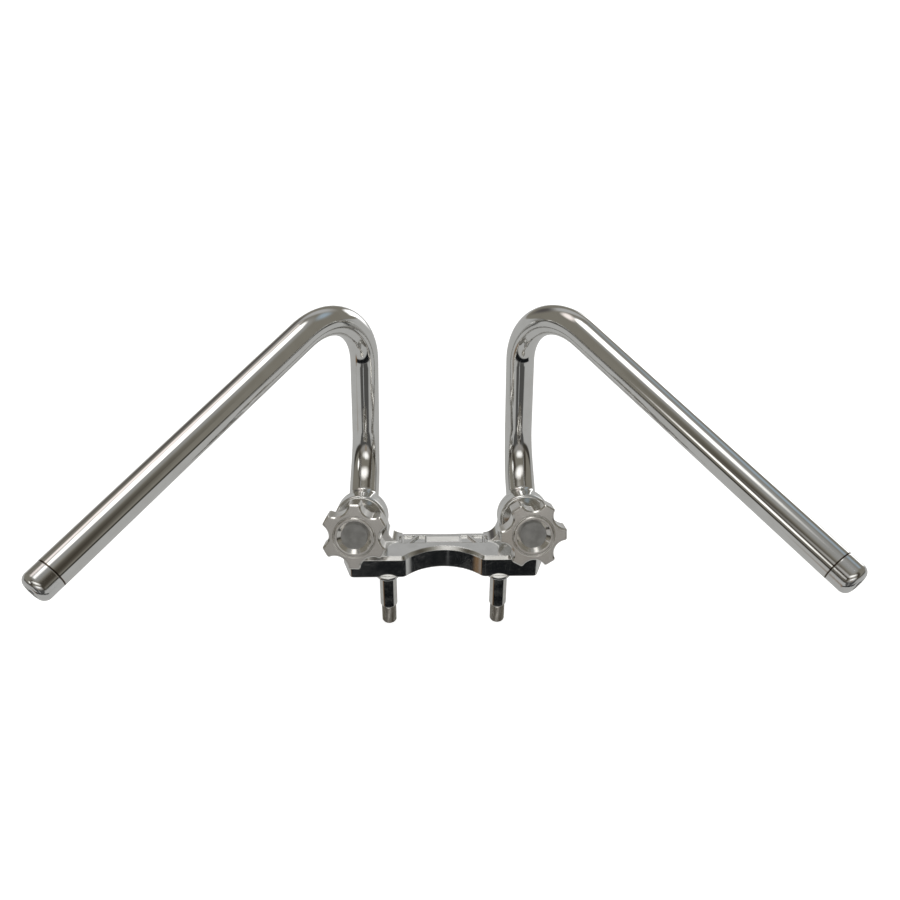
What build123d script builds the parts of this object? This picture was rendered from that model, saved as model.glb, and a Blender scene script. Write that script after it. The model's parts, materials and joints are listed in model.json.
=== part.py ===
from build123d import *
import os
from math import asin, cos, degrees, radians, sin, sqrt, tan

# Two-piece folding handlebar for a mini-bike: a billet lower holder carries two bent bars,
# each seated by a taper in an ear and clamped by a star knob.
# Frame: millimetres, +Z up along the studs, +X to the rider's right, -Y towards the rider.
# Origin: midway between the two studs, in the plane of the stud bosses that rest on the top bridge.

# ---- driving dimensions ----
TUBE_D = 22.2
TUBE_WALL = 2.3
STUD_PITCH = 90.0
STUD_D = 14.0
STUD_THREAD_D = 12.0
STUD_SHANK = 30.8
STUD_LENGTH = 50.5
STUD_ROOT_D = 12.0
STUD_SEAT = 16.0
STUD_STEP = 1.2
STUD_TIP = 2.0

BOSS_D = 20.0
BOSS_H = 1.2
BAR_H = 20.0
FOOT_FRONT_Y = -7.0
FOOT_FRONT_X = 75.0
BAR_END_X = 81.5
BAR_BACK_Y = 26.5
ARCH_R = 45.0
ARCH_TOP_Y = 6.0
BACK_R = 230.0
FRONT_CHAMFER = 2.4
BOTTOM_EDGE_R = 0.8
BACK_MID_Y = 23.6
FOOT_SIDE_Y = 12.0
CORNER_R = 4.0
ARCH_MOUTH_R = 6.0

RELIEF_Y = 17.0
RELIEF_LENGTH = 72.0
RELIEF_WIDTH = 9.0
RELIEF_DEPTH = 1.6
RELIEF_CORNER_R = 2.0
PAD_LENGTH = 29.0
RIB_X = 25.0
RIB_ANGLE = 38.0
RIB_W = 2.2
END_RIB_X = 33.0
END_RIB_W = 1.6

EAR_X = 67.0
EAR_Y = 19.0
EAR_Z = 38.2
EAR_TILT = 20.0
EAR_SPLAY = 3.3
EAR_R = 21.3
EAR_DEPTH = 14.0
EAR_RIM_R = 2.5
EAR_WEB = 4.0
TAPER_MOUTH_R = 14.4
TAPER_END_R = 12.0
GUSSET_R = 12.0

HUB_GAP = 0.3
TAPER_GAP = 0.04
FLANGE_BACK = 22.0
BOLT_R = 5.0
RUNNING_GAP = 0.05
FOLD_ANGLE = 100.0
PIN_R = 1.5
PIN_ORBIT_R = 17.6
PIN_SLOT_R = 1.7
PIN_DEPTH = 4.0
PIN_SLOT_DEPTH = 4.5
NOSE_GAP = 0.6
NOSE_CHAMFER = 0.8
FLANGE_EDGE_R = 3.0

LOWER_CORNER = (63.6, 77.0, 67.2)
LOWER_END = (65.9, 41.0, 31.2)
UPPER_CORNER = (60.3, 75.5, 224.6)
LOWER_BEND_R = 65.0
UPPER_BEND_R = 51.0
GRIP_DIRECTION = (0.5927, -0.7461, -0.3034)
GRIP_LENGTH = 305.5
NECK_R = 12.1
NECK_RUN = 25.5
NECK_ROOT_R = 4.0
SPIGOT_LENGTH = 12.0
SPIGOT_WALL = 2.0

WASHER_R = 11.5
WASHER_T = 1.5
WASHER_GAP = 0.2
WASHER_CHAMFER = 0.25
SEAT_GAP = 0.02
KNOB_NECK_R = 10.0
KNOB_BACK = 25.0
KNOB_FACE = 40.7
KNOB_TIP_R = 26.1
KNOB_VALLEY_R = 19.7
KNOB_TIP_HALF = 4.7
KNOB_CORNER_R = 1.8
KNOB_LOBES = 6
KNOB_FRONT_CHAMFER = 1.2
KNOB_BACK_CHAMFER = 0.8
KNOB_FLARE = 6.0
KNOB_EDGE = 0.5
GROOVE = 0.9
CROWN_CHAMFER = 0.6
KNOB_RING_R = 15.6
KNOB_CAP_R = 10.2
KNOB_TURNS = 3.0
THREAD_PITCH = 1.5

CROWN_Z = 41.3
DISH_R = 13.4
CAP_FACE_Z = 38.4
CAP_T = 1.3
CHAMBER_R = 8.2
INSERT_R = 7.5
INSERT_TOP = 22.0
RING_T = 1.2
RING_R = 7.2
RING_GROOVE_R = 4.0
RING_MOUTH_W = 4.4
RING_PLAY = 0.1
BOLT_END = 2.2
BOLT_CHAMFER = 1.0
BOLT_ROOT = 18.0
PIN_ROOT = 18.5

CAP_R = 11.0
CAP_LENGTH = 16.1
CAP_EDGE_R = 5.5
SPIGOT_L = 8.0
BUSH_L = 16.0
SCREW_R = 3.0
SCREW_HEAD_R = 5.0
SCREW_KEY_R = 2.0
SCREW_DEPTH = 28.0
SCREW_SUNK = 0.2
SCREW_HEAD_H = 3.0
SCREW_KEY_DEPTH = 2.2
CAP_SEAM = 0.5
WEDGE_R = 5.6
WEDGE_H = 6.0
NUT_H = 3.0
NUT_GAP = 0.4
BUSH_GAP = 0.2

TUBE_R = TUBE_D / 2
BORE_R = TUBE_R - TUBE_WALL
BAR_TOP = BOSS_H + BAR_H
RING_Z = INSERT_TOP + KNOB_TURNS * THREAD_PITCH + RING_PLAY
BOLT_TIP = RING_Z + RING_T + BOLT_END
OVER = 1.0  # how far a cut runs past a face
FAR = 60.0  # further than anything that a cut has to cross
SIDES = {"left": -1, "right": 1}


def unit(v):
    return Vector(*v).normalized()


def mirrored(point, side):
    x, y, z = point
    return Vector(side * x, y, z)


def ear_axis(side):
    tilt = radians(EAR_TILT)
    splay = radians(EAR_SPLAY)
    return Vector(side * sin(splay) * cos(tilt), -cos(splay) * cos(tilt), sin(tilt))


def ear_plane(side):
    """Local z runs along the fold axis towards the rider, y up the ear's face."""
    across = Vector(cos(radians(EAR_SPLAY)), side * sin(radians(EAR_SPLAY)), 0)
    return Plane(origin=(side * EAR_X, EAR_Y, EAR_Z), x_dir=across, z_dir=ear_axis(side))


def turned(profile):
    """A solid of revolution about local z from (radius, height) points."""
    points = [(r, 0, z) for r, z in profile]
    face = make_face(Polyline(*points, close=True))
    return revolve(face, Axis.Z)


def rod(radius, low, high):
    return Pos(0, 0, low) * Cylinder(radius, high - low, align=(Align.CENTER, Align.CENTER, Align.MIN))


def ring(inner, outer, low, high):
    return rod(outer, low, high) - rod(inner, low - 1, high + 1)


# ---- holder ----
def bar_outline():
    outline = Polygon(
        (-FOOT_FRONT_X, FOOT_FRONT_Y),
        (FOOT_FRONT_X, FOOT_FRONT_Y),
        (BAR_END_X, FOOT_SIDE_Y),
        (BAR_END_X, BAR_BACK_Y),
        (-BAR_END_X, BAR_BACK_Y),
        (-BAR_END_X, FOOT_SIDE_Y),
        align=None,
    )
    outline -= Pos(0, ARCH_TOP_Y - ARCH_R) * Circle(ARCH_R)
    outline -= Pos(0, BACK_MID_Y + BACK_R) * Circle(BACK_R)
    corners = outline.vertices()
    outline = fillet(corners.filter_by(lambda v: abs(v.X) > FOOT_FRONT_X - 1), CORNER_R)
    mouth = outline.vertices().filter_by(lambda v: v.Y < FOOT_FRONT_Y + 0.5 and abs(v.X) < ARCH_R)
    return fillet(mouth, ARCH_MOUTH_R)


def bar_block():
    block = Pos(0, 0, BOSS_H) * extrude(bar_outline(), BAR_H)
    top = block.edges().filter_by(lambda e: abs(e.center().Z - BAR_TOP) < 0.01)
    front = top.filter_by(lambda e: e.center().Y < FOOT_SIDE_Y and abs(e.center().X) < BAR_END_X)
    block = chamfer(front, FRONT_CHAMFER)
    bottom = block.edges().filter_by(lambda e: abs(e.center().Z - BOSS_H) < 0.01)
    return fillet(bottom, BOTTOM_EDGE_R)


def top_relief():
    """Shallow pocket in the top face, round a plain pad and two ribs each side, one of them slanted."""
    relief = RectangleRounded(RELIEF_LENGTH, RELIEF_WIDTH, RELIEF_CORNER_R)
    relief -= Rectangle(PAD_LENGTH, RELIEF_WIDTH)
    for side in (-1, 1):
        relief -= Pos(side * RIB_X, 0) * Rot(0, 0, side * RIB_ANGLE) * Rectangle(RIB_W, 2 * RELIEF_WIDTH)
        relief -= Pos(side * END_RIB_X, 0) * Rectangle(END_RIB_W, 2 * RELIEF_WIDTH)
    return Pos(0, RELIEF_Y, BAR_TOP - RELIEF_DEPTH) * extrude(relief, RELIEF_DEPTH + OVER)


def ear_solid(side):
    plane = ear_plane(side)
    disc = rod(EAR_R, -EAR_DEPTH, 0)
    rim = disc.edges().sort_by(Axis.Z)[-1]
    disc = fillet(rim, EAR_RIM_R)
    ear = plane.location * disc
    return ear + ear_gusset(side)


def ear_gusset(side):
    """Fairing from the ear's inner flank down to the bar's top, as deep as the ear."""
    inward = -side
    low = BOSS_H + BAR_H / 2 - EAR_Z
    level = BAR_TOP - EAR_Z
    flank = inward * EAR_R
    foot = inward * (EAR_R + GUSSET_R)
    heart = (foot, level + GUSSET_R)
    shoulder = GUSSET_R * sqrt(0.5)
    middle = (heart[0] - inward * shoulder, heart[1] - shoulder)
    edge = Line((0, 0), (flank, 0)) + Line((flank, 0), (flank, level + GUSSET_R))
    edge += ThreePointArc((flank, level + GUSSET_R), middle, (foot, level))
    edge += Line((foot, level), (foot, low)) + Line((foot, low), (0, low)) + Line((0, low), (0, 0))
    across = Vector(cos(radians(EAR_SPLAY)), side * sin(radians(EAR_SPLAY)), 0)
    upright = Plane(origin=(side * EAR_X, EAR_Y, EAR_Z), x_dir=across, z_dir=across.cross(Vector(0, 0, 1)))
    block = extrude(upright * make_face(edge), FAR, both=True)
    slab = Pos(0, -FAR / 2, -(EAR_DEPTH + EAR_RIM_R) / 2) * Box(2 * FAR, FAR, EAR_DEPTH - EAR_RIM_R)
    return block & (ear_plane(side).location * slab)


def ear_cuts(side):
    plane = ear_plane(side)
    bore = turned(
        [
            (0, -EAR_DEPTH - OVER),
            (TAPER_MOUTH_R, -EAR_DEPTH - OVER),
            (TAPER_MOUTH_R, -EAR_DEPTH),
            (TAPER_END_R, -EAR_WEB),
            (0, -EAR_WEB),
        ]
    )
    hole = rod(BOLT_R + RUNNING_GAP, -EAR_WEB - OVER, OVER)
    clearance = rod(EAR_R + OVER, -FAR, -EAR_DEPTH)
    return [plane.location * cut for cut in (bore, hole, clearance, pin_slot(side))]


def pin_slot(side):
    """Arc slot in the ear's back face that stops the fold at each end."""
    start = 90.0  # the pin's place above the axis with the bar upright
    sweep_angle = -side * FOLD_ANGLE
    spare = degrees((PIN_SLOT_R - PIN_R) / PIN_ORBIT_R)
    first = start + side * spare
    last = start + sweep_angle - side * spare
    size = abs(last - first)
    centre_line = CenterArc((0, 0), PIN_ORBIT_R, min(first, last), size)
    slot = SlotArc(arc=centre_line, height=2 * PIN_SLOT_R)
    return Pos(0, 0, -EAR_DEPTH - OVER) * extrude(slot, PIN_SLOT_DEPTH + OVER)


def make_holder():
    studs = [Pos(side * STUD_PITCH / 2, 0, 0) for side in (-1, 1)]
    holder = bar_block()
    for place in studs:
        holder += place * rod(BOSS_D / 2, 0, BOSS_H + OVER)
    for side in (-1, 1):
        holder += ear_solid(side)
    cuts = [cut for side in (-1, 1) for cut in ear_cuts(side)]
    cuts += [place * rod(STUD_ROOT_D / 2, -OVER, STUD_SEAT) for place in studs]
    cuts.append(top_relief())
    return holder - cuts


# ---- studs ----
def make_stud(side):
    """Shouldered stud: a thinner root fixed in the holder, a plain shank, and a threaded end."""
    root_r = STUD_ROOT_D / 2
    shank_r = STUD_D / 2
    thread_r = STUD_THREAD_D / 2
    profile = [
        (0, STUD_SEAT),
        (root_r, STUD_SEAT),
        (root_r, 0),
        (shank_r, 0),
        (shank_r, -STUD_SHANK),
        (thread_r, -STUD_SHANK - STUD_STEP),
        (thread_r, -STUD_LENGTH + STUD_TIP),
        (thread_r - STUD_TIP, -STUD_LENGTH),
        (0, -STUD_LENGTH),
    ]
    return Pos(side * STUD_PITCH / 2, 0, 0) * turned(profile)


# ---- bars ----
def lower_arc_point(angle, side):
    """Centre and direction of the bar at a turn of the lower bend, counted from the upright."""
    corner = mirrored(LOWER_CORNER, side)
    up = (mirrored(UPPER_CORNER, side) - corner).normalized()
    down = (mirrored(LOWER_END, side) - corner).normalized()
    turn = 180 - up.get_angle(down)
    inset = LOWER_BEND_R * tan(radians(turn / 2))
    start = corner + up * inset
    normal = (down + up * cos(radians(turn))).normalized()
    a = radians(angle * turn)
    point = start - up * (LOWER_BEND_R * sin(a)) + normal * (LOWER_BEND_R * (1 - cos(a)))
    heading = up * -cos(a) + normal * sin(a)
    return point, heading


def make_tube(side):
    start, heading = lower_arc_point(0, side)
    corner = mirrored(UPPER_CORNER, side)
    grip = mirrored(unit(GRIP_DIRECTION), side)
    end = corner + grip * GRIP_LENGTH
    path = FilletPolyline(start, corner, end, radius=UPPER_BEND_R)
    section = Plane(origin=start, z_dir=-heading)
    outer = sweep(section * Circle(TUBE_R), path=path)
    inner = sweep(section * Circle(BORE_R), path=path)
    return outer - inner


def make_hub(side):
    plane = ear_plane(side)
    seat = -EAR_DEPTH - HUB_GAP
    slope = (TAPER_MOUTH_R - TAPER_END_R) / (EAR_DEPTH - EAR_WEB)
    nose = -EAR_WEB - NOSE_GAP
    nose_r = TAPER_END_R + slope * NOSE_GAP - TAPER_GAP
    mouth_r = TAPER_MOUTH_R - TAPER_GAP
    flange = turned(
        [
            (0, nose),
            (nose_r - NOSE_CHAMFER, nose),
            (nose_r, nose - NOSE_CHAMFER),
            (mouth_r, -EAR_DEPTH),
            (mouth_r, seat),
            (EAR_R, seat),
            (EAR_R, -FLANGE_BACK),
            (0, -FLANGE_BACK),
        ]
    )
    back_edge = flange.edges().filter_by(GeomType.CIRCLE).sort_by(Axis.Z)[0]
    flange = fillet(back_edge, FLANGE_EDGE_R)
    hub = plane.location * flange + hub_neck(side)
    hub = fillet(neck_root_edges(hub, plane), NECK_ROOT_R)
    bore = plane.location * rod(BOLT_R, -BOLT_ROOT, 0)
    pin_hole = plane.location * (Pos(0, PIN_ORBIT_R, 0) * rod(PIN_R, -PIN_ROOT, -EAR_DEPTH + OVER))
    return hub - bore - pin_hole


def neck_root_edges(hub, plane):
    """The closed run of edges where the neck grows out of the flange's back."""
    found = []
    for edge in hub.edges():
        middle = plane.to_local_coords(Vector(edge.center()))
        away = sqrt(middle.X**2 + middle.Y**2)
        at_back = abs(middle.Z + FLANGE_BACK) < FLANGE_EDGE_R and middle.Y > -NECK_R - 2
        on_rim_fillet = EAR_R - 6 <= away <= EAR_R - 1
        if at_back and not on_rim_fillet and edge.geom_type != GeomType.LINE:
            found.append(edge)
    return found


def hub_neck(side):
    """Hollow bent neck that thickens from the tube's size to the hub, with a spigot inside the tube."""
    # place along the bend, and how far the neck has grown from the tube's radius to its own
    stations = [(0.0, 0.0), (0.15, 0.0), (0.35, 0.12), (0.55, 0.4), (0.78, 0.78), (1.0, 1.0)]
    sections = []
    hollows = []
    for place, swell in stations:
        point, heading = lower_arc_point(place, side)
        radius = TUBE_R + swell * (NECK_R - TUBE_R)
        sections.append(Plane(origin=point, z_dir=heading) * Circle(radius))
        hollows.append(Plane(origin=point, z_dir=heading) * Circle(BORE_R - SPIGOT_WALL))
    point, heading = lower_arc_point(1.0, side)
    root = point + heading * NECK_RUN
    foot = loft([sections[-1], Plane(origin=root, z_dir=heading) * Circle(NECK_R)])
    foot += Plane(origin=root, z_dir=heading) * Sphere(NECK_R)
    start, first = lower_arc_point(0, side)
    spigot_end = Plane(origin=start - first * SPIGOT_LENGTH, z_dir=first)
    spigot = spigot_end * extrude(Circle(BORE_R), SPIGOT_LENGTH + OVER)
    open_end = spigot_end * extrude(Circle(BORE_R - SPIGOT_WALL), SPIGOT_LENGTH)
    in_front = ear_plane(side).location * rod(FAR, -EAR_DEPTH - HUB_GAP, FAR)
    return loft(sections) + foot + spigot - in_front - loft(hollows) - open_end


# ---- clamp: everything on the fold axis, in the ear's own plane ----
def make_stop_pin(side):
    tip = -EAR_DEPTH + PIN_DEPTH
    pin = Pos(0, PIN_ORBIT_R, 0) * rod(PIN_R, -PIN_ROOT, tip)
    return ear_plane(side).location * pin


def make_clamp_bolt(side):
    profile = [
        (0, -BOLT_ROOT),
        (BOLT_R, -BOLT_ROOT),
        (BOLT_R, RING_Z),
        (RING_GROOVE_R, RING_Z),
        (RING_GROOVE_R, RING_Z + RING_T),
        (BOLT_R, RING_Z + RING_T),
        (BOLT_R, BOLT_TIP - BOLT_CHAMFER),
        (BOLT_R - BOLT_CHAMFER, BOLT_TIP),
        (0, BOLT_TIP),
    ]
    return ear_plane(side).location * turned(profile)


def make_retaining_ring(side):
    band = ring(RING_GROOVE_R, RING_R, RING_Z, RING_Z + RING_T)
    mouth = Pos(0, -RING_R, RING_Z + RING_T / 2) * Box(RING_MOUTH_W, RING_R, 2 * RING_T)
    return ear_plane(side).location * (band - mouth)


def make_thrust_washer(side):
    washer = ring(BOLT_R + WASHER_GAP, WASHER_R, SEAT_GAP, SEAT_GAP + WASHER_T)
    outer = washer.edges().filter_by(GeomType.CIRCLE).filter_by(lambda e: e.radius > BOLT_R + 1)
    return ear_plane(side).location * chamfer(outer, WASHER_CHAMFER)


def knob_outline(side):
    """Six flat-tipped lobes between round valleys; one knob stands half a lobe on from the other."""
    first = 30.0 if side < 0 else 0.0
    step = 360.0 / KNOB_LOBES
    half = asin(KNOB_TIP_HALF / KNOB_TIP_R)
    away = radians(step / 2) - half
    reach = KNOB_TIP_R / cos(half)
    across = reach * sin(away)
    along = reach * cos(away)
    centre = (along**2 + across**2 - KNOB_VALLEY_R**2) / (2 * (along - KNOB_VALLEY_R))
    outline = Rot(0, 0, first) * RegularPolygon(
        KNOB_TIP_R, KNOB_LOBES, major_radius=False, rotation=180 / KNOB_LOBES
    )
    for lobe in range(KNOB_LOBES):
        angle = first + step * (lobe + 0.5)
        outline -= Rot(0, 0, angle) * Pos(centre, 0) * Circle(centre - KNOB_VALLEY_R)
    tips = outline.vertices()
    return fillet(tips, KNOB_CORNER_R)


def make_knob(side):
    star = Pos(0, 0, KNOB_BACK) * extrude(knob_outline(side), KNOB_FACE - KNOB_BACK)
    faces = star.faces().filter_by(Axis.Z).sort_by(Axis.Z)
    star = chamfer(faces[-1].outer_wire().edges(), KNOB_FRONT_CHAMFER)
    faces = star.faces().filter_by(Axis.Z).sort_by(Axis.Z)
    star = chamfer(faces[0].outer_wire().edges(), KNOB_BACK_CHAMFER)
    low = SEAT_GAP + WASHER_T
    inside = KNOB_BACK + 2
    neck = turned(
        [
            (0, low),
            (KNOB_NECK_R - KNOB_EDGE, low),
            (KNOB_NECK_R, low + KNOB_EDGE),
            (KNOB_NECK_R, KNOB_BACK - KNOB_FLARE),
            (KNOB_NECK_R + KNOB_FLARE, KNOB_BACK),
            (KNOB_NECK_R + KNOB_FLARE, inside),
            (0, inside),
        ]
    )
    root = KNOB_FACE - 2 * GROOVE
    crown = turned(
        [
            (0, root),
            (KNOB_RING_R, root),
            (KNOB_RING_R, CROWN_Z - CROWN_CHAMFER),
            (KNOB_RING_R - CROWN_CHAMFER, CROWN_Z),
            (0, CROWN_Z),
        ]
    )
    groove = ring(KNOB_RING_R, KNOB_RING_R + GROOVE, KNOB_FACE - GROOVE, KNOB_FACE + OVER)
    above = CROWN_Z + OVER
    slope = [(KNOB_CAP_R, CAP_FACE_Z), (DISH_R, CROWN_Z)]
    dish = turned([(0, CAP_FACE_Z), *slope, (DISH_R, above), (0, above)])
    seat = rod(KNOB_CAP_R, CAP_FACE_Z - CAP_T, CAP_FACE_Z + OVER)
    chamber = rod(CHAMBER_R, INSERT_TOP, CAP_FACE_Z)
    socket = rod(INSERT_R, 0, INSERT_TOP + RING_PLAY)
    knob = star + neck - groove + crown - [dish, seat, chamber, socket]
    return ear_plane(side).location * knob


def make_knob_insert(side):
    insert = ring(BOLT_R + RUNNING_GAP, INSERT_R, SEAT_GAP + WASHER_T + RING_PLAY, INSERT_TOP)
    return ear_plane(side).location * insert


def make_knob_cap(side):
    cap = rod(KNOB_CAP_R, CAP_FACE_Z - CAP_T, CAP_FACE_Z)
    return ear_plane(side).location * cap


# ---- bar ends: everything on the grip's axis, z outward from the tube's open end ----
def grip_end_plane(side):
    grip = mirrored(unit(GRIP_DIRECTION), side)
    return Plane(origin=mirrored(UPPER_CORNER, side) + grip * GRIP_LENGTH, z_dir=grip)


def make_bar_end_cap(side):
    cap = turned(
        [
            (0, -SPIGOT_L),
            (BORE_R, -SPIGOT_L),
            (BORE_R, 0),
            (CAP_R - CAP_SEAM, 0),
            (CAP_R, CAP_SEAM),
            (CAP_R, CAP_LENGTH),
            (0, CAP_LENGTH),
        ]
    )
    rim = cap.edges().filter_by(GeomType.CIRCLE).sort_by(Axis.Z)[-1]
    cap = fillet(rim, CAP_EDGE_R)
    top = CAP_LENGTH - SCREW_SUNK
    low = top - SCREW_HEAD_H
    above = CAP_LENGTH + OVER
    cone = [(SCREW_R, low), (SCREW_HEAD_R, top)]
    seat = turned([(0, low), *cone, (SCREW_HEAD_R, above), (0, above)])
    return grip_end_plane(side).location * (cap - [seat, rod(SCREW_R, -SPIGOT_L - OVER, CAP_LENGTH)])


def make_bar_end_screw(side):
    top = CAP_LENGTH - SCREW_SUNK
    neck = top - SCREW_HEAD_H
    shank = [(0, -SCREW_DEPTH), (SCREW_R, -SCREW_DEPTH), (SCREW_R, neck)]
    screw = turned([*shank, (SCREW_HEAD_R, top), (0, top)])
    key = extrude(RegularPolygon(SCREW_KEY_R, 6, major_radius=False), SCREW_KEY_DEPTH + OVER)
    return grip_end_plane(side).location * (screw - Pos(0, 0, top - SCREW_KEY_DEPTH) * key)


def make_bar_end_bush(side):
    """Rubber bush with a coned end, which the nut spreads against the tube's bore."""
    low = -SPIGOT_L - BUSH_L
    bore = SCREW_R + BUSH_GAP
    cone = [(bore, low + WEDGE_H), (WEDGE_R, low)]
    bush = turned([*cone, (BORE_R, low), (BORE_R, -SPIGOT_L), (bore, -SPIGOT_L)])
    return grip_end_plane(side).location * bush


def make_bar_end_nut(side):
    """Coned nut: its cone lies in the bush and its skirt runs free in the tube."""
    low = -SPIGOT_L - BUSH_L
    skirt_r = BORE_R - NUT_GAP
    tip = (SCREW_R + BUSH_GAP, low + WEDGE_H)
    skirt = [(skirt_r, low), (skirt_r, low - NUT_H), (SCREW_R, low - NUT_H)]
    nut = turned([(SCREW_R, low + WEDGE_H), tip, (WEDGE_R, low), *skirt])
    return grip_end_plane(side).location * nut


PIECES = {
    "stud": make_stud,
    "tube": make_tube,
    "hub": make_hub,
    "stop_pin": make_stop_pin,
    "clamp_bolt": make_clamp_bolt,
    "retaining_ring": make_retaining_ring,
    "thrust_washer": make_thrust_washer,
    "knob": make_knob,
    "knob_insert": make_knob_insert,
    "knob_cap": make_knob_cap,
    "bar_end_cap": make_bar_end_cap,
    "bar_end_screw": make_bar_end_screw,
    "bar_end_bush": make_bar_end_bush,
    "bar_end_nut": make_bar_end_nut,
}


def build():
    nodes = {"holder": make_holder()}
    for name, side in SIDES.items():
        for piece, maker in PIECES.items():
            nodes[f"{name}_{piece}"] = maker(side)
    return nodes


os.makedirs("parts", exist_ok=True)
for node, shape in build().items():
    shape.label = node
    export_step(shape, f"parts/{node}.step")
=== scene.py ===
import json
from math import cos, pi, radians, sin

import bpy
from mathutils import Matrix, Vector


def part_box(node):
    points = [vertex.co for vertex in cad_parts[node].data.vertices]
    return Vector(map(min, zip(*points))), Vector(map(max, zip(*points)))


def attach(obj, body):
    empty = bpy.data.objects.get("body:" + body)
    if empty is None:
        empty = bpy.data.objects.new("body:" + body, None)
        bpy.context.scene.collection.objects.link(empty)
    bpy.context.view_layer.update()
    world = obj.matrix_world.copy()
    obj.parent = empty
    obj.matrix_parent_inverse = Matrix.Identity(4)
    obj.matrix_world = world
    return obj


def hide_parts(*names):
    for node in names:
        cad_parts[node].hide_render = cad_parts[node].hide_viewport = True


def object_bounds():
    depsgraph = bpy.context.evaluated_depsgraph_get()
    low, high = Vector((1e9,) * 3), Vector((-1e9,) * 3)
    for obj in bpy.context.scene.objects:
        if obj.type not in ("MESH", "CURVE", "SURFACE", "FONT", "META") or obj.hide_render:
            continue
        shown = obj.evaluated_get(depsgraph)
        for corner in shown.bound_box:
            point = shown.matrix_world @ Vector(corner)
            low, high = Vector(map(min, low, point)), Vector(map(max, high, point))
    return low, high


# The looks of a two-piece folding handlebar: chromed bars in a polished billet holder, clamped by star knobs.
# Everything is in metres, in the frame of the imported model: +Z up, -Y towards the rider, +X to the right.

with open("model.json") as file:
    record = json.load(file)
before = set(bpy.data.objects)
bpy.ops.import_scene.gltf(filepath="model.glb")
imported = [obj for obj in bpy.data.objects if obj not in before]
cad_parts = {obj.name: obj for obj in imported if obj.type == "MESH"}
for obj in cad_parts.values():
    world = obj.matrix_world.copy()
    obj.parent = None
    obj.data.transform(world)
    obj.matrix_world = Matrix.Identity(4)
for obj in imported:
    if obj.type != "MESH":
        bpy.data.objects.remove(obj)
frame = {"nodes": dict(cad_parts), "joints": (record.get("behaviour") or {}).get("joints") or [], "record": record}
cad_low, cad_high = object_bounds()
nodes = frame["nodes"]
joints = {joint["name"]: joint for joint in frame["joints"]}
mounts = {mount["name"]: mount for mount in frame["record"]["mounts"]}
MM = 0.001


# ---- shader building ----
class Tree:
    """A node tree that is built by calls: each returns an output socket to feed into the next."""

    def __init__(self, owner):
        owner.use_nodes = True
        self.owner = owner
        self.tree = owner.node_tree
        self.tree.nodes.clear()

    def add(self, kind, inputs=None, out=0, **settings):
        node = self.tree.nodes.new(kind)
        for key, value in settings.items():
            setattr(node, key, value)
        for key, value in (inputs or {}).items():
            if isinstance(value, bpy.types.NodeSocket):
                self.tree.links.new(value, node.inputs[key])
            else:
                node.inputs[key].default_value = value
        return node.outputs[out] if len(node.outputs) else None

    def math(self, operation, a, b=0.0):
        return self.add("ShaderNodeMath", {0: a, 1: b}, operation=operation)

    def vector(self, operation, a, b=(0, 0, 0), out=0):
        return self.add("ShaderNodeVectorMath", {0: a, 1: b}, out=out, operation=operation)

    def dot(self, a, b):
        return self.vector("DOT_PRODUCT", a, b, out=1)

    def length(self, a):
        return self.vector("LENGTH", a, out=1)

    def times(self, a, b):
        return self.math("MULTIPLY", a, b)

    def split(self, a):
        return self.add("ShaderNodeSeparateXYZ", {"Vector": a}).node.outputs

    def span(self, value, low, high, to_low=0.0, to_high=1.0):
        """Maps value smoothly from low..high to to_low..to_high."""
        inputs = {"Value": value, "From Min": low, "From Max": high, "To Min": to_low, "To Max": to_high}
        return self.add("ShaderNodeMapRange", inputs, interpolation_type="SMOOTHSTEP")

    def mix(self, factor, a, b):
        return self.add("ShaderNodeMix", {0: factor, 6: a, 7: b}, out=2, data_type="RGBA")

    def noise(self, place, scale, detail=3.0, roughness=0.55):
        inputs = {"Vector": place, "Scale": scale, "Detail": detail, "Roughness": roughness}
        return self.add("ShaderNodeTexNoise", inputs)

    def grain(self, place, scale, turn=(0, 0, 0)):
        """Noise that is stretched by a scale for each axis, for brushed and scratched metal."""
        turned = self.add("ShaderNodeMapping", {"Vector": place, "Rotation": turn})
        return self.noise(self.vector("MULTIPLY", turned, scale), 1.0, 2.0)

    def bump(self, height, depth, normal=None):
        inputs = {"Height": height, "Distance": depth}
        if normal is not None:
            inputs["Normal"] = normal
        return self.add("ShaderNodeBump", inputs)

    def soft_edges(self, radius):
        return self.add("ShaderNodeBevel", {"Radius": radius}, samples=6)

    def place(self):
        return self.add("ShaderNodeTexCoord", out=3)

    def surface(self, shader):
        self.add("ShaderNodeOutputMaterial", {"Surface": shader})


SCRATCH_TURNS = ((0.3, 0.9, 0.2), (1.2, 0.1, 1.9), (0.7, 2.3, 0.8))
SCRATCH_STRETCH = 0.03
SCRATCH_FROM = 0.70
SCRATCH_FULL = 0.75


def scratches(t, place, scale, cover):
    """Sparse fine hairlines in three directions: 1 on a scratch and 0 elsewhere."""
    found = None
    for turn in SCRATCH_TURNS:
        field = t.grain(place, (scale, scale * SCRATCH_STRETCH, scale), turn)
        line = t.span(field, SCRATCH_FROM - cover, SCRATCH_FULL - cover)
        found = line if found is None else t.math("MAXIMUM", found, line)
    return found


def metal(t, colour, roughness, normal, metallic=1.0):
    inputs = {"Base Color": colour, "Metallic": metallic, "Roughness": roughness, "Normal": normal}
    t.surface(t.add("ShaderNodeBsdfPrincipled", inputs))


# ---- masks in the frame of the model ----
def right_half(t):
    """The place in the frame with the left half folded over onto the right one, as the two mirror each other."""
    x, y, z = t.split(t.place())
    return t.add("ShaderNodeCombineXYZ", {"X": t.math("ABSOLUTE", x), "Y": y, "Z": z})


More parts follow.
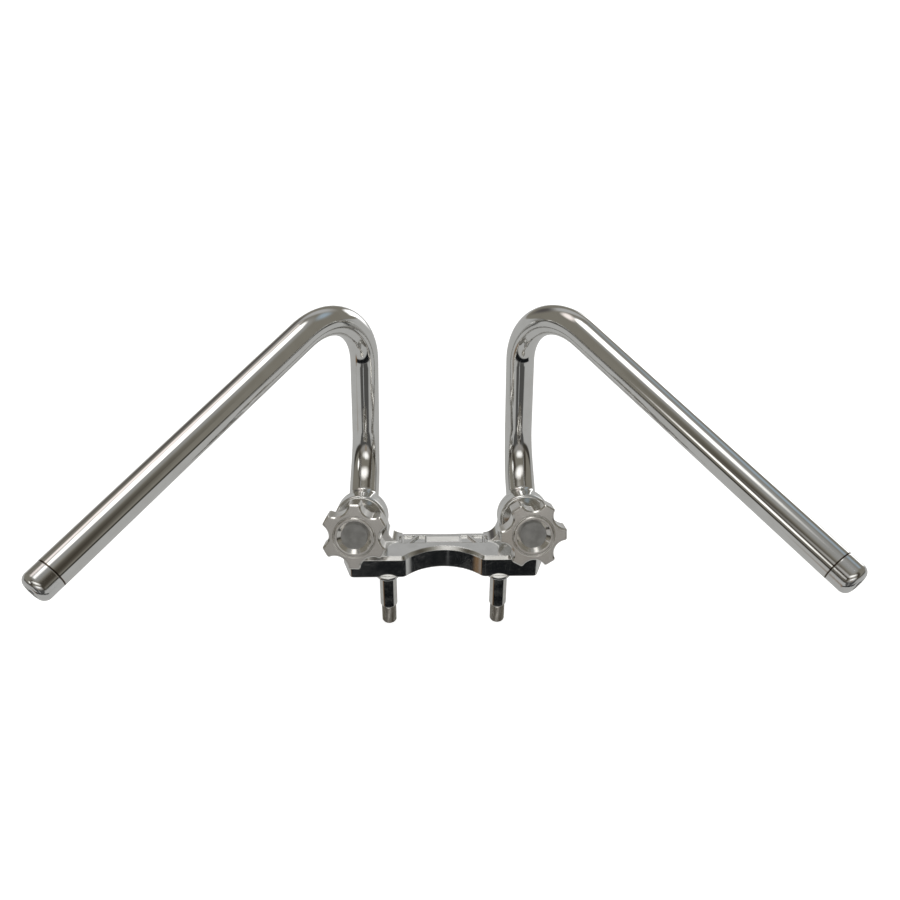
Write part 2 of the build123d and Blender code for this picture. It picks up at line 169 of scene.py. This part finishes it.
def axis_distance(t):
    """Distance from the nearer knob's axis."""
    turn = joints["right_knob_turn"]
    away = t.vector("SUBTRACT", right_half(t), turn["pos_m"])
    return t.length(t.vector("CROSS_PRODUCT", away, turn["axis"]))


SEAM_HALF_WIDTH = 0.45 * MM
SEAM_SOFT = 0.25 * MM


def seam_mask(t):
    """1 on the grimy seam between a bar and its end cap, and 0 elsewhere."""
    grip = mounts["right_grip"]
    axis = Vector(grip["axis"])
    seam = Vector(grip["pos_m"]) + axis * (grip["dims"]["length_mm"] * MM / 2)
    along = t.dot(t.vector("SUBTRACT", right_half(t), seam), axis)
    return t.span(t.math("ABSOLUTE", along), SEAM_HALF_WIDTH + SEAM_SOFT, SEAM_HALF_WIDTH)


CREST_BRIGHT_R = 5.92 * MM
GROOVE_DARK_R = 5.45 * MM


def groove_shade_mask(t):
    """1 at the bottom of a stud's thread and 0 at its crests: the grooves it marks get painted shade."""
    low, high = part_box("right_stud")
    away = t.vector("SUBTRACT", right_half(t), (low + high) / 2)
    radius = t.length(t.vector("MULTIPLY", away, (1, 1, 0)))
    return t.span(radius, CREST_BRIGHT_R, GROOVE_DARK_R)


PANEL_HALF_X = 13.2 * MM
PANEL_HALF_Y = 3.4 * MM
PANEL_Y = 17.0 * MM
PANEL_Z = 21.0 * MM
PANEL_SOFT = 0.15 * MM


def panel_mask(t, place):
    """1 on the blasted panel in the middle of the holder's top face, and 0 elsewhere. The panel's near-white colour
    is partly a painted reflection.
    """
    x, y, z = t.split(place)
    across = t.span(t.math("ABSOLUTE", x), PANEL_HALF_X + PANEL_SOFT, PANEL_HALF_X)
    from_middle = t.math("ABSOLUTE", t.math("SUBTRACT", y, PANEL_Y))
    along = t.span(from_middle, PANEL_HALF_Y + PANEL_SOFT, PANEL_HALF_Y)
    return t.times(t.times(across, along), t.math("GREATER_THAN", z, PANEL_Z))


# ---- materials ----
CHROME = (0.80, 0.80, 0.79, 1)
CHROME_WARM = (0.76, 0.755, 0.74, 1)
BILLET = (0.78, 0.78, 0.77, 1)
BILLET_WORN = (0.72, 0.72, 0.71, 1)
CAP = (0.80, 0.80, 0.80, 1)
CAP_WORN = (0.74, 0.74, 0.73, 1)
KNOB = (0.77, 0.755, 0.73, 1)
KNOB_WORN = (0.70, 0.685, 0.655, 1)
# Near-white blasted panel: partly its own light finish, partly a painted reflection of white light.
BLASTED_AND_PAINTED_REFLECTION = (0.98, 0.98, 0.97, 1)
DISC = (0.42, 0.42, 0.415, 1)
DISC_DARK = (0.35, 0.35, 0.345, 1)
RUBBER = (0.022, 0.022, 0.024, 1)
# Dark brown: real grime on the seam at a bar's end, and painted shade in the studs' thread grooves.
GRIME_AND_GROOVE_SHADE = (0.17, 0.14, 0.11, 1)
TARNISH = 0.82
PANEL_METALLIC = 0.05
CUTTER_GRAIN = (60, 5200, 5200)
LATHE_GRAIN = (60, 60, 5200)
KNOB_RING_PITCH = 0.32 * MM
DISC_RING_PITCH = 0.45 * MM
BILLET_EDGE = 0.9 * MM
KNOB_EDGE = 0.8 * MM


def chrome():
    """Chrome plate: a mirror with faint waves, smudges and hairlines, and a grimy seam at the bar's end."""
    t = Tree(bpy.data.materials.new("chrome_plate"))
    place = t.place()
    smudge = t.noise(place, 70, 4.0)
    haze = t.span(smudge, 0.35, 0.75, 0.035, 0.085)
    hairline = scratches(t, place, 2600, 0.0)
    roughness = t.math("ADD", haze, t.times(hairline, 0.10))
    waves = t.bump(t.noise(place, 110, 1.0), 0.012 * MM)
    normal = t.bump(hairline, 0.002 * MM, waves)
    tint = t.mix(t.span(smudge, 0.3, 0.7), CHROME, CHROME_WARM)
    tint = t.mix(seam_mask(t), tint, GRIME_AND_GROOVE_SHADE)
    metal(t, tint, roughness, normal)
    return t.owner


def polished_billet(name, colour, worn, panel=False):
    """Polished aluminium: a fine cutter grain along X, soft edges, hairlines and a slightly hazy shine."""
    t = Tree(bpy.data.materials.new(name))
    place = t.place()
    cloud = t.noise(place, 90, 4.0)
    hairline = scratches(t, place, 1800, 0.02)
    shine = t.span(cloud, 0.3, 0.75, 0.07, 0.13)
    roughness = t.math("ADD", shine, t.times(hairline, 0.12))
    normal = t.bump(t.grain(place, CUTTER_GRAIN), 0.006 * MM, t.soft_edges(BILLET_EDGE))
    normal = t.bump(hairline, 0.004 * MM, normal)
    tint = t.mix(t.span(cloud, 0.35, 0.7), colour, worn)
    metallic = 1.0
    if panel:
        mask = panel_mask(t, place)
        normal = t.bump(t.times(mask, t.noise(place, 3200, 2.0)), 0.05 * MM, normal)
        roughness = t.math("ADD", roughness, t.times(mask, 0.28))
        # Painted reflection: the panel is tinted near-white and made nearly non-metallic, so it shows the bright
        # reflection as colour.
        tint = t.mix(mask, tint, BLASTED_AND_PAINTED_REFLECTION)
        metallic = t.span(mask, 0, 1, 1.0, PANEL_METALLIC)
    metal(t, tint, roughness, normal, metallic)
    return t.owner


def rings_round_axis(t, away, pitch):
    return t.math("SINE", t.times(away, 2 * pi / pitch))


def turned_knob():
    """Polished aluminium with fine rings cut round the knob's axis."""
    t = Tree(bpy.data.materials.new("turned_knob"))
    place = t.place()
    away = axis_distance(t)
    drift = t.noise(t.vector("MULTIPLY", t.add("ShaderNodeCombineXYZ", {"X": away}), (2200, 1, 1)), 1.0)
    cloud = t.noise(place, 80, 4.0)
    hairline = scratches(t, place, 1900, 0.02)
    roughness = t.math("ADD", t.span(cloud, 0.3, 0.75, 0.10, 0.17), t.times(hairline, 0.12))
    normal = t.bump(rings_round_axis(t, away, KNOB_RING_PITCH), 0.0012 * MM, t.soft_edges(KNOB_EDGE))
    normal = t.bump(drift, 0.006 * MM, normal)
    metal(t, t.mix(t.span(cloud, 0.35, 0.7), KNOB, KNOB_WORN), roughness, normal)
    return t.owner


def satin_disc():
    """Bead-blasted and turned disc: matt, with concentric tool marks."""
    t = Tree(bpy.data.materials.new("satin_disc"))
    place = t.place()
    rings = rings_round_axis(t, axis_distance(t), DISC_RING_PITCH)
    cloud = t.noise(place, 160, 3.0)
    normal = t.bump(t.noise(place, 3800, 2.0), 0.02 * MM, t.bump(rings, 0.006 * MM))
    roughness = t.span(cloud, 0.3, 0.75, 0.36, 0.50)
    metal(t, t.mix(t.span(cloud, 0.3, 0.7), DISC, DISC_DARK), roughness, normal)
    return t.owner


def turned_metal(name, colour, low, high, threaded=False):
    """Steel or brass with fine lathe lines across Z, tarnish in soft clouds and painted shade darkening a thread's
    grooves.
    The roughness wanders between low and high."""
    t = Tree(bpy.data.materials.new(name))
    place = t.place()
    cloud = t.noise(place, 150, 3.0)
    roughness = t.span(cloud, 0.3, 0.75, low, high)
    tarnished = tuple(TARNISH * part for part in colour)
    tint = t.mix(t.span(cloud, 0.4, 0.8), colour + (1,), tarnished + (1,))
    if threaded:
        groove = groove_shade_mask(t)
        # Painted shade: the thread's grooves are darkened in colour, as if shaded.
        tint = t.mix(groove, tint, GRIME_AND_GROOVE_SHADE)
        roughness = t.math("ADD", roughness, t.times(groove, 0.3))
    metal(t, tint, roughness, t.bump(t.grain(place, LATHE_GRAIN), 0.003 * MM))
    return t.owner


def rubber():
    t = Tree(bpy.data.materials.new("moulded_rubber"))
    place = t.place()
    roughness = t.span(t.noise(place, 200), 0.3, 0.7, 0.62, 0.8)
    metal(t, RUBBER, roughness, t.bump(t.noise(place, 2400), 0.03 * MM), metallic=0.0)
    return t.owner


# ---- threaded studs ----
THREAD_PITCH = 1.25 * MM
THREAD_DEPTH = 0.72 * MM
THREAD_CREST_R = 5.97 * MM
THREAD_RUN_OUT = 1.6 * MM
THREAD_LENGTH = 18.6 * MM
FLANK_SLOPE = 1.25
ROOT_FLAT = 0.12
TIP_DROP = 1.5 * MM
SHOULDER = 1.2 * MM
CENTRE_HOLE_R = 1.3 * MM
CENTRE_HOLE_POINT_R = 0.15 * MM
CENTRE_HOLE_DEPTH = 1.1 * MM
ROOT_R = 6.0 * MM
EDGE_BREAK = 0.3 * MM
AROUND = 72
STEPS_PER_TURN = 10
SHARP_ANGLE = radians(40)


def thread_radius(height, angle, tip):
    """Radius of the threaded end at a height over the tip: a rounded V, fading out towards the shank."""
    turn = ((height - tip) / THREAD_PITCH - angle / (2 * pi)) % 1.0
    flank = abs(2 * turn - 1)
    crest = min(max(FLANK_SLOPE * flank - ROOT_FLAT, 0.0), 1.0)
    fade = min(max((tip + THREAD_LENGTH - height) / THREAD_RUN_OUT, 0.0), 1.0)
    chamfer = THREAD_CREST_R - TIP_DROP + (height - tip)
    return min(THREAD_CREST_R - THREAD_DEPTH * (1 - crest) * fade, chamfer)


def stud_rings(tip, shank_r, seat):
    """Heights from the tip up, each with a function that gives its radius at an angle."""
    shank_end = tip + THREAD_LENGTH
    steps = int(THREAD_LENGTH / THREAD_PITCH * STEPS_PER_TURN)
    yield tip + CENTRE_HOLE_DEPTH, lambda angle: CENTRE_HOLE_POINT_R
    yield tip, lambda angle: CENTRE_HOLE_R
    for step in range(steps + 1):
        height = tip + THREAD_LENGTH * step / steps
        yield height, lambda angle, at=height: thread_radius(at, angle, tip)
    plain = [(shank_end + SHOULDER - EDGE_BREAK, shank_r - EDGE_BREAK), (shank_end + SHOULDER, shank_r)]
    plain += [(-EDGE_BREAK, shank_r), (0.0, shank_r - EDGE_BREAK), (0.0, ROOT_R), (seat, ROOT_R)]
    for height, radius in plain:
        yield height, lambda angle, r=radius: r


def make_stud(name, material):
    """A stud with a cut thread, in place of the plain one."""
    low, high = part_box(name)
    centre = (low + high) / 2
    shank_r = (high.x - low.x) / 2
    points = []
    for height, radius in stud_rings(low.z, shank_r, high.z):
        for i in range(AROUND):
            angle = 2 * pi * i / AROUND
            r = radius(angle)
            points.append((centre.x + r * cos(angle), centre.y + r * sin(angle), height))
    rings = len(points) // AROUND
    faces = []
    for ring in range(rings - 1):
        for i in range(AROUND):
            j = (i + 1) % AROUND
            here, above = ring * AROUND, (ring + 1) * AROUND
            faces.append((here + i, here + j, above + j, above + i))
    faces.append(tuple(reversed(range(AROUND))))
    faces.append(tuple((rings - 1) * AROUND + i for i in range(AROUND)))
    mesh = bpy.data.meshes.new(name + "_threaded")
    mesh.from_pydata(points, [], faces)
    mesh.shade_smooth()
    mesh.set_sharp_from_angle(angle=SHARP_ANGLE)
    mesh.materials.append(material)
    stud = bpy.data.objects.new(name + "_threaded", mesh)
    bpy.context.scene.collection.objects.link(stud)
    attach(stud, "holder")
    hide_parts(name)


def make_studs():
    zinc = turned_metal("stud_steel", (0.70, 0.69, 0.665), 0.07, 0.15, threaded=True)
    for side in ("left", "right"):
        make_stud(side + "_stud", zinc)


# ---- stage: pale floor, one soft overhead light and a plain studio round it ----
FLOOR_HALF = 12.0
FLOOR_GAP = 0.05 * MM
PAPER = (0.5, 0.5, 0.5, 1)
PAPER_GLOW = 0.92
LAMP_PLACE = (-0.26, 0.28, 2.7)
LAMP_SIZE = (1.0, 1.25)
LAMP_POWER = 14.0
WHITE = (1, 1, 1, 1)


def make_floor():
    """A white floor just under the studs. The metal doesn't mirror it, because the studio has its own table."""
    z = cad_low.z - FLOOR_GAP
    corners = [(x * FLOOR_HALF, y * FLOOR_HALF, z) for x, y in ((-1, -1), (1, -1), (1, 1), (-1, 1))]
    mesh = bpy.data.meshes.new("floor")
    mesh.from_pydata(corners, [], [(0, 1, 2, 3)])
    floor = bpy.data.objects.new("floor", mesh)
    bpy.context.scene.collection.objects.link(floor)
    floor.visible_glossy = False
    t = Tree(bpy.data.materials.new("pale_floor"))
    paper = t.add("ShaderNodeBsdfDiffuse", {"Color": PAPER})
    glow = t.add("ShaderNodeEmission", {"Color": WHITE, "Strength": PAPER_GLOW})
    t.surface(t.add("ShaderNodeAddShader", {0: paper, 1: glow}))
    mesh.materials.append(t.owner)


def make_overhead_light():
    light = bpy.data.lights.new("overhead", "AREA")
    light.shape = "RECTANGLE"
    light.size, light.size_y = LAMP_SIZE
    light.energy = LAMP_POWER
    lamp = bpy.data.objects.new("overhead", light)
    lamp.location = LAMP_PLACE
    lamp.visible_glossy = False
    bpy.context.scene.collection.objects.link(lamp)


def toward(azimuth, elevation):
    """Unit vector: azimuth 0 points to the rider and 90 to +X, and elevation counts from the horizon."""
    a, e = radians(azimuth), radians(elevation)
    return Vector((sin(a) * cos(e), -cos(a) * cos(e), sin(e)))


# The studio's own light: below the horizon, above it, and overhead.
TABLE_LIGHT = (0.46, 0.46, 0.45, 1)
ROOM_LIGHT = (0.225, 0.212, 0.180, 1)
ROOF_LIGHT = (0.34, 0.34, 0.33, 1)
TABLE_EDGE = (-0.05, 0.0)
ROOF_EDGE = (0.80, 0.99)

# Dark bands at the rider's side: the heights between which each fades in and out, how far along Y it fades out, and
# its light. Heights and Y are parts of a unit vector.
BANDS = (
    ((-0.22, -0.14), (0.03, -0.04), (0.45, 0.05), (0.050, 0.046, 0.038)),
    ((-0.61, -0.58), (-0.08, -0.14), (-0.68, -0.76), (0.085, 0.085, 0.082)),
    ((-0.73, -0.70), (-0.58, -0.61), (-0.16, -0.30), (0.008, 0.009, 0.010)),
)

# Soft cards that the metal mirrors: azimuth, elevation, half width and half height in degrees, how soft the rim is,
# and the light that comes from the card. A later card lies over the ones before.
CARDS = (
    (180, 38, 26, 12, 0.5, (0.46, 0.46, 0.455)),
    (147, 1, 15, 14, 0.3, (1.9, 1.9, 1.9)),
    (-145, 81, 14, 14, 0.4, (2.2, 2.18, 2.12)),
    (-130, 56, 14, 9, 0.6, (1.2, 1.10, 1.06)),
    (48, 24, 12, 28, 0.5, (0.06, 0.052, 0.040)),
    (-48, 24, 12, 28, 0.5, (0.06, 0.052, 0.040)),
    (-60, 17, 6, 6, 0.6, (1.7, 1.68, 1.62)),
    (128, 46, 13, 10, 0.7, (0.36, 0.43, 0.49)),
    (-146, 20, 13, 12, 0.7, (0.10, 0.092, 0.09)),
    (0, 1, 34, 8, 0.4, (0.33, 0.32, 0.305)),
    (3, 0, 6, 6, 0.6, (0.30, 0.25, 0.19)),
    (4, 13, 22, 6, 0.6, (1.3, 1.3, 1.28)),
    (-6, 43, 27, 8, 0.6, (1.4, 1.38, 1.34)),
    (-70, -42, 5, 10, 0.7, (0.20, 0.13, 0.075)),
    (-8, -24, 2.5, 12, 0.5, (0.45, 0.45, 0.45)),
)


def card_mask(t, ray, azimuth, elevation, half_width, half_height, rim):
    """1 inside an elliptical card of the studio and 0 outside, with a soft rim."""
    middle = toward(azimuth, elevation)
    across = Vector((0, 0, 1)).cross(middle).normalized()
    up = middle.cross(across)
    u = t.math("DIVIDE", t.dot(ray, across), sin(radians(half_width)))
    v = t.math("DIVIDE", t.dot(ray, up), sin(radians(half_height)))
    reach = t.math("SQRT", t.math("ADD", t.times(u, u), t.times(v, v)))
    facing = t.math("GREATER_THAN", t.dot(ray, middle), 0.0)
    return t.times(t.span(reach, 1 + rim, 1 - rim), facing)


def make_studio():
    """The world: a studio for reflections and light, and plain white behind the object."""
    world = bpy.data.worlds.new("studio")
    bpy.context.scene.world = world
    t = Tree(world)
    ray = t.add("ShaderNodeTexCoord", out=0)
    _, along_y, height = t.split(ray)
    light = t.mix(t.span(height, *TABLE_EDGE), TABLE_LIGHT, ROOM_LIGHT)
    light = t.mix(t.span(height, *ROOF_EDGE), light, ROOF_LIGHT)
    for fade_in, fade_out, ahead, colour in BANDS:
        mask = t.times(t.span(height, *fade_in), t.span(height, *fade_out))
        light = t.mix(t.times(mask, t.span(along_y, *ahead)), light, colour + (1,))
    for azimuth, elevation, half_width, half_height, rim, colour in CARDS:
        mask = card_mask(t, ray, azimuth, elevation, half_width, half_height, rim)
        light = t.mix(mask, light, colour + (1,))
    seen_by_camera = t.add("ShaderNodeLightPath", out=0)
    light = t.mix(seen_by_camera, light, WHITE)
    t.add("ShaderNodeOutputWorld", {"Surface": t.add("ShaderNodeBackground", {"Color": light})})


# ---- camera ----
CAMERA_PLACE = Vector((-0.0122, -0.6253, 0.5301))
CAMERA_PITCH = radians(33.3)
CAMERA_YAW = 0.0224
CAMERA_ROLL = -0.0065
CAMERA_LENS = 40.0
CAMERA_NEAR = 0.02
SENSOR = 36.0


def make_camera():
    ahead = Vector((CAMERA_YAW, cos(CAMERA_PITCH), -sin(CAMERA_PITCH))).normalized()
    down = Vector((CAMERA_ROLL, -sin(CAMERA_PITCH), -cos(CAMERA_PITCH)))
    down = (down - ahead * down.dot(ahead)).normalized()
    turn = Matrix((down.cross(ahead), -down, -ahead)).transposed()
    data = bpy.data.cameras.new("camera")
    data.lens = CAMERA_LENS
    data.sensor_width = SENSOR
    data.clip_start = CAMERA_NEAR
    camera = bpy.data.objects.new("camera", data)
    camera.matrix_world = Matrix.Translation(CAMERA_PLACE) @ turn.to_4x4()
    bpy.context.scene.collection.objects.link(camera)
    bpy.context.scene.camera = camera


# ---- the object ----
def dress_nodes():
    """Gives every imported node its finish, but for the studs, which make_studs replaces."""
    plate = chrome()
    finishes = {
        "holder": polished_billet("polished_billet", BILLET, BILLET_WORN, panel=True),
        "tube": plate,
        "hub": plate,
        "knob": turned_knob(),
        "knob_cap": satin_disc(),
        "knob_insert": turned_metal("cut_brass", (0.78, 0.60, 0.30), 0.18, 0.32),
        "thrust_washer": turned_metal("polished_washer", (0.72, 0.72, 0.71), 0.12, 0.25),
        "clamp_bolt": turned_metal("bolt_steel", (0.60, 0.59, 0.57), 0.24, 0.38),
        "stop_pin": turned_metal("pin_steel", (0.62, 0.61, 0.60), 0.18, 0.30),
        "retaining_ring": turned_metal("spring_steel", (0.16, 0.16, 0.17), 0.30, 0.45),
        "bar_end_cap": polished_billet("polished_cap", CAP, CAP_WORN),
        "bar_end_screw": turned_metal("screw_steel", (0.55, 0.55, 0.54), 0.22, 0.36),
        "bar_end_bush": rubber(),
        "bar_end_nut": turned_metal("nut_steel", (0.58, 0.57, 0.55), 0.26, 0.40),
    }
    for name, node in nodes.items():
        piece = name.split("_", 1)[-1]
        if piece != "stud":
            for slot in node.material_slots:
                slot.material = finishes[piece]


make_camera()
make_studio()
make_overhead_light()
make_floor()
dress_nodes()
make_studs()

bpy.context.scene.view_settings.view_transform = "Standard"
